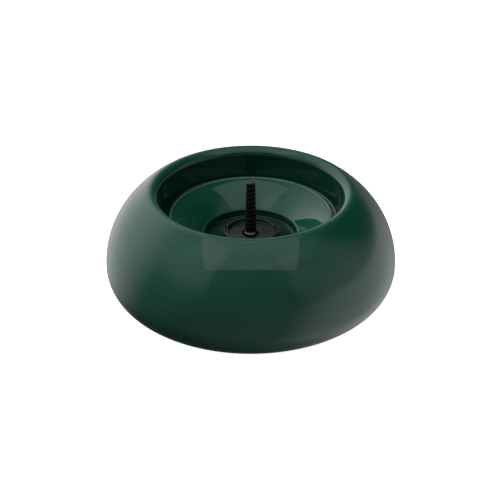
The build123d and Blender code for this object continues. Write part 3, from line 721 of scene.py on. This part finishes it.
class Sky:
    """The studio's surroundings: an even tone, with soft glows and shades added to it."""

    def __init__(self, tone):
        self.world = bpy.data.worlds.new("studio")
        bpy.context.scene.world = self.world
        self.world.use_nodes = True
        self.tree = self.world.node_tree
        coordinates = self.tree.nodes.new("ShaderNodeTexCoord")
        self.direction = coordinates.outputs["Generated"]
        self.level = tone

    def math(self, operation, first, second):
        """A sum, product or the like of two values, each a number or an output."""
        made = self.tree.nodes.new("ShaderNodeMath")
        made.operation = operation
        for socket, value in zip(made.inputs, (first, second)):
            if isinstance(value, bpy.types.NodeSocket):
                self.tree.links.new(value, socket)
            else:
                socket.default_value = value
        return made.outputs[0]

    def towards(self, azimuth, elevation):
        """How much of each direction points that way: azimuth from +Y towards +X."""
        turn, lift = math.radians(azimuth), math.radians(elevation)
        made = self.tree.nodes.new("ShaderNodeVectorMath")
        made.operation = "DOT_PRODUCT"
        self.tree.links.new(self.direction, made.inputs[0])
        aim = (math.cos(lift) * math.sin(turn), math.cos(lift) * math.cos(turn), math.sin(lift))
        made.inputs[1].default_value = aim
        return made.outputs["Value"]

    def step(self, value, low, high):
        """0 below low, 1 above high, with a soft step between."""
        made = self.tree.nodes.new("ShaderNodeMapRange")
        made.interpolation_type = "SMOOTHSTEP"
        made.inputs["From Min"].default_value = low
        made.inputs["From Max"].default_value = high
        self.tree.links.new(value, made.inputs["Value"])
        return made.outputs["Result"]

    def patch(self, azimuth, elevation, full_deg, edge_deg):
        """A soft round patch: whole out to one angle from its middle, and gone at the other."""
        low = math.cos(math.radians(edge_deg))
        high = math.cos(math.radians(full_deg))
        return self.step(self.towards(azimuth, elevation), low, high)

    def product(self, *factors):
        """The product of several values."""
        result = factors[0]
        for factor in factors[1:]:
            result = self.math("MULTIPLY", result, factor)
        return result

    def glow(self, strength, *shares):
        """Adds light over the product of some patches."""
        self.level = self.math("ADD", self.level, self.product(strength, *shares))

    def shade(self, strength, share):
        """Dims the light over a patch."""
        self.level = self.product(self.level, self.math("SUBTRACT", 1.0, self.product(strength, share)))

    def finish(self):
        """Feeds the light to the background."""
        self.tree.links.new(self.level, self.tree.nodes["Background"].inputs["Color"])


def make_world():
    """Soft studio surroundings: a tall light behind to the left, a low one to the right."""
    sky = Sky(0.14)
    height = sky.towards(0, 90)
    left_half = sky.math("ADD", 0.35, sky.product(0.65, sky.step(sky.towards(-90, 0), 0.0, 0.1)))
    sideways = sky.math("ABSOLUTE", sky.towards(90, 0), 0.0)
    front = sky.math("SUBTRACT", sky.towards(180, 0), sky.product(1.33, sideways))
    beside_front = sky.math("SUBTRACT", 1.0, sky.step(front, 0.0, 0.08))
    under_horizon = sky.math("SUBTRACT", 1.0, sky.product(0.6, sky.step(height, -0.05, 0.15)))
    sky.glow(1.06, sky.patch(-44, 10, 12, 58), left_half)
    sky.glow(0.15, sky.patch(-85, 45, 5, 45))
    sky.glow(0.35, sky.patch(-125, 45, 5, 42), beside_front)
    sky.glow(0.9, sky.patch(85, -25, 5, 68), under_horizon)
    sky.glow(0.2, sky.patch(118, 32, 10, 48), beside_front)
    sky.glow(0.08, sky.step(height, 0.77, 0.81))
    rightward = sky.step(sky.towards(90, 0), 0.02, 0.14)
    sky.shade(0.95, sky.product(sky.patch(40, 40, 20, 42), rightward))
    sky.shade(0.75, sky.patch(-90, -75, 20, 55))
    sky.glow(0.1, sky.patch(170, -40, 10, 60))
    sky.finish()


make_camera()
make_floor()
make_world()
softbox(
    "overhead", OVERHEAD_CENTRE, OVERHEAD_AIM, OVERHEAD_WIDTH, OVERHEAD_DEPTH, OVERHEAD_RADIANCE
)
key = softbox("key", KEY_CENTRE, (0.0, 0.0, 0.0), KEY_SIDE, KEY_SIDE, KEY_RADIANCE)
key.visible_glossy = False
bpy.context.scene.view_settings.view_transform = "Standard"

green_shell = glossy_green(
    "green_shell", (0.004, 0.052, 0.03), (0.007, 0.07, 0.043), shell_painted_shade, shell_painted_highlight
)
green_bowl = glossy_green(
    "green_bowl", (0.004, 0.05, 0.029), (0.006, 0.066, 0.04), bowl_painted_shade, bowl_painted_highlight
)
black_plate = black_plastic("black_plate", (0.003, 0.009, 0.007), 0.2, 1800.0)
black_frame = black_plastic("black_frame", (0.012, 0.013, 0.013), 0.5, 1400.0)
black_wheel = black_plastic("black_wheel", (0.012, 0.013, 0.013), 0.42, 1400.0)
black_spike = blackened_steel("blackened_steel", (0.006, 0.008, 0.007), (0.07, 0.11, 0.09))
satin_steel = metal("satin_steel", (0.13, 0.14, 0.135), 0.3)
zinc = metal("zinc_plated_steel", (0.62, 0.63, 0.62), 0.28)
spring = metal("spring_steel", (0.4, 0.41, 0.43), 0.3)
cast = metal("cast_alloy", (0.5, 0.51, 0.52), 0.5, (1.0, 1.0, 1.0))
bronze = metal("bronze", (0.5, 0.33, 0.16), 0.35)
seal = rubber("seal_rubber", (0.012, 0.012, 0.012))
feet = rubber("foot_rubber", (0.02, 0.02, 0.021))

make_shell(green_shell)
make_bowl(green_bowl)
make_spike(black_spike)
make_collar(satin_steel)

finishes = {
    black_plate: ["trunk_plate"],
    black_frame: ["base_frame"],
    black_wheel: ["drive_wheel"],
    zinc: [
        "collar_pin",
        "thrust_washer",
        "wheel_washer",
        "wheel_nut",
        "plate_screws",
        "plate_washers",
        "shell_screws",
        "housing_bolts",
    ],
    spring: ["retaining_ring"],
    cast: ["spindle_housing"],
    bronze: ["bearing_sleeve"],
    seal: ["rim_seal", "shaft_seal", "hub_gasket"],
    feet: ["rubber_feet"],
}
for material, nodes in finishes.items():
    for node in nodes:
        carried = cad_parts[node]
        carried.data.materials.clear()
        carried.data.materials.append(material)
